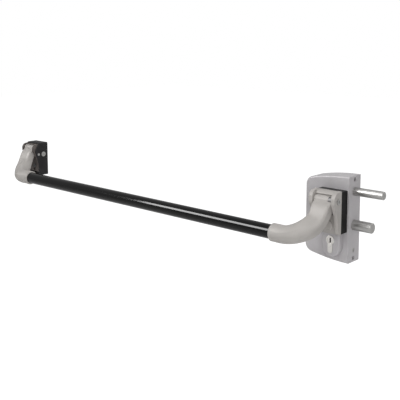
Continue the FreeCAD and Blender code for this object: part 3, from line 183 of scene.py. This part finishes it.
def gloss_tube(name):
    """Smooth black tube with faint lines along it."""
    made = Shader(name)
    lines = made.noise(scale=500, detail=2, stretch=(0.05, 1, 1))
    return made.finish(
        colour=made.blend(lines, srgb(3, 3, 3), srgb(5, 5, 5)),
        metal=0,
        rough=made.spread(lines, 0.08, 0.12),
        normal=made.bump(lines, distance=0.00001, strength=0.12, below=made.soft_edges(0.0003)),
        specular=TUBE_SPECULAR,
    )


looks = {
    "cast_grey": cast_metal(
        "cast_grey", light=srgb(188, 184, 180), dark=srgb(178, 174, 170),
        rough=0.55, grain_height=0.00004, edge=0.0006,
    ),
    "case_silver": cast_metal(
        "case_silver", light=srgb(196, 193, 195), dark=srgb(188, 185, 187),
        rough=0.4, grain_height=0.00003, edge=0.0009,
    ),
    "black_cast": painted(
        "black_cast", light=srgb(20, 19, 19), dark=srgb(14, 13, 13),
        rough=0.42, peel=0.00004, edge=0.0008,
    ),
    "black_hood": painted(
        "black_hood", light=srgb(52, 51, 52), dark=srgb(43, 42, 43),
        rough=0.55, peel=0.00005, edge=0.0006,
    ),
    # Painted shade: a darker copy of the cast grey, for the left yoke, a silver piece that sits in
    # shadow
    "shaded_cast": painted(
        "shaded_cast", light=srgb(112, 105, 102), dark=srgb(92, 86, 83),
        rough=0.5, peel=0.00005, edge=0.0006,
    ),
    "black_plastic": painted(
        "black_plastic", light=srgb(40, 40, 41), dark=srgb(30, 30, 31),
        rough=0.5, peel=0.00003, edge=0.0004,
    ),
    "black_tube": gloss_tube("black_tube"),
    "stainless": brushed(
        "stainless", light=srgb(190, 189, 187), dark=srgb(166, 165, 163),
        rough=0.36, stretch=(0.06, 1, 1), edge=0.0003,
    ),
    "nickel": brushed(
        "nickel", light=srgb(228, 225, 221), dark=srgb(214, 211, 207),
        rough=0.36, stretch=(1, 0.06, 1), edge=0.0003,
    ),
    "hard_steel": brushed(
        "hard_steel", light=srgb(112, 111, 111), dark=srgb(92, 91, 91),
        rough=0.5, stretch=(1, 1, 0.08), edge=0.0003,
    ),
    "spring_steel": brushed(
        "spring_steel", light=srgb(140, 140, 146), dark=srgb(112, 112, 118),
        rough=0.32, stretch=(0.2, 1, 1), edge=0.0001,
    ),
    "bronze": brushed(
        "bronze", light=srgb(196, 156, 98), dark=srgb(166, 128, 76),
        rough=0.38, stretch=(0.1, 1, 1), edge=0.0002,
    ),
}

# Pieces that sit in shade and show darker than the rest of their kind; their darker looks are
# painted shade
SHADED_LOOK_OF_NODE = {"left_yoke": "shaded_cast", "left_yoke_screws": "hard_steel"}
slot_of = {entry["node"]: entry["material_slot"] for entry in frame["record"]["subparts"]}
for name, thing in nodes.items():
    thing.data.materials.clear()
    thing.data.materials.append(looks[SHADED_LOOK_OF_NODE.get(name, slot_of[name])])


# Stage and room

STAGE_SIZE = 14
STAGE_PLACE = (-0.4, 0, -0.42)
STAGE_GREY = (0.86, 0.86, 0.86, 1)
STAGE_GLOW = 1.36
# How much of the stage is glow to the camera, the rest is matt grey
GLOW_SHARE = 0.72

ROOM_STRENGTH = 0.4
BACKGROUND_STRENGTH = 1.0
# How much of the background's white shows in reflections
MIRRORED_SHARE = 0.25


def combine(tree, operation, first, second):
    """A math node on a socket and on a second socket or a number."""
    made = tree.nodes.new("ShaderNodeMath")
    made.operation = operation
    tree.links.new(first, made.inputs[0])
    if isinstance(second, bpy.types.NodeSocket):
        tree.links.new(second, made.inputs[1])
    else:
        made.inputs[1].default_value = second
    return made.outputs[0]


def seen_rays(tree):
    """How much white a ray finds: all to the camera, a part in reflections, none as light."""
    path = tree.nodes.new("ShaderNodeLightPath").outputs
    bounced = combine(tree, "MAXIMUM", path["Is Glossy Ray"], path["Is Transmission Ray"])
    weaker = combine(tree, "MULTIPLY", bounced, MIRRORED_SHARE)
    return combine(tree, "MAXIMUM", path["Is Camera Ray"], weaker)


def send_mix(tree, output_kind, factor, first, second):
    """Send a mix of two shaders to a new output of the tree."""
    mix = tree.nodes.new("ShaderNodeMixShader")
    tree.links.new(factor, mix.inputs["Fac"])
    tree.links.new(first, mix.inputs[1])
    tree.links.new(second, mix.inputs[2])
    output = tree.nodes.new(output_kind)
    tree.links.new(mix.outputs[0], output.inputs["Surface"])


def glow(tree, kind, strength):
    """White light of a given strength, from a background or a surface."""
    made = tree.nodes.new(kind)
    made.inputs["Color"].default_value = WHITE
    made.inputs["Strength"].default_value = strength
    return made.outputs[0]


def stage_material():
    """Nearly white to the camera, with a faint shadow, and matt grey as a source of light."""
    material = bpy.data.materials.new("floor_white")
    material.use_nodes = True
    tree = material.node_tree
    tree.nodes.clear()
    share = combine(tree, "MULTIPLY", seen_rays(tree), GLOW_SHARE)
    matt = tree.nodes.new("ShaderNodeBsdfDiffuse")
    matt.inputs["Color"].default_value = STAGE_GREY
    white = glow(tree, "ShaderNodeEmission", STAGE_GLOW)
    send_mix(tree, "ShaderNodeOutputMaterial", share, matt.outputs[0], white)
    return material


bpy.ops.mesh.primitive_plane_add(size=STAGE_SIZE, location=STAGE_PLACE)
floor = bpy.context.object
floor.name = "floor"
floor.data.materials.append(stage_material())

world = bpy.data.worlds.new("studio")
scene.world = world
world.use_nodes = True
world.node_tree.nodes.clear()
send_mix(
    world.node_tree,
    "ShaderNodeOutputWorld",
    seen_rays(world.node_tree),
    glow(world.node_tree, "ShaderNodeBackground", ROOM_STRENGTH),
    glow(world.node_tree, "ShaderNodeBackground", BACKGROUND_STRENGTH),
)


# Lamps. Places are in metres and powers in watts.

MIDDLE = (-0.45, -0.05, 0)


def lamp(name, place, aim, size, power, mirrored_only=False):
    """A rectangular lamp with its long side level. A mirrored_only lamp lights no matt surface."""
    data = bpy.data.lights.new(name, "AREA")
    data.shape = "RECTANGLE"
    data.size, data.size_y = size
    data.energy = power
    made = bpy.data.objects.new(name, data)
    scene.collection.objects.link(made)
    made.location = place
    made.visible_diffuse = not mirrored_only
    direction = Vector(aim) - Vector(place)
    made.rotation_euler = direction.to_track_quat("-Z", "Y").to_euler()


# The strip makes the streak along the tube
lamp(
    "strip_light", place=(-1.5, -1.4, 0.92), aim=(-1.5, -0.1, 0.05), size=(1.1, 0.8), power=50,
    mirrored_only=True,
)
lamp("key_light", place=(-0.2, -1.5, 1.3), aim=(-0.1, -0.05, 0), size=(1.2, 0.8), power=9)
lamp("top_light", place=(-0.1, -0.4, 1.9), aim=(-0.2, -0.05, 0), size=(1.6, 0.9), power=8)
lamp("fill_light", place=(1.4, -1.6, 0.5), aim=MIDDLE, size=(1.4, 1.4), power=8)
lamp("rim_light", place=(0.4, 1.6, 1.2), aim=MIDDLE, size=(1.8, 0.8), power=6)


# Camera, fitted to the photograph

SENSOR_MM = 36
LENS_MM = 63.83
LENS_SHIFT_Y = -0.2
CAMERA_PLACE = (0.64365, -1.12893, 0.3275)
DEGREES_BELOW_LEVEL = 6.53
DEGREES_TO_THE_LEFT = 42.22

camera_data = bpy.data.cameras.new("camera")
camera_data.sensor_width = SENSOR_MM
camera_data.lens = LENS_MM
camera_data.shift_y = LENS_SHIFT_Y
camera = bpy.data.objects.new("camera", camera_data)
scene.collection.objects.link(camera)
camera.location = CAMERA_PLACE
camera.rotation_euler = (
    math.radians(90 - DEGREES_BELOW_LEVEL), 0, math.radians(DEGREES_TO_THE_LEFT),
)
scene.camera = camera
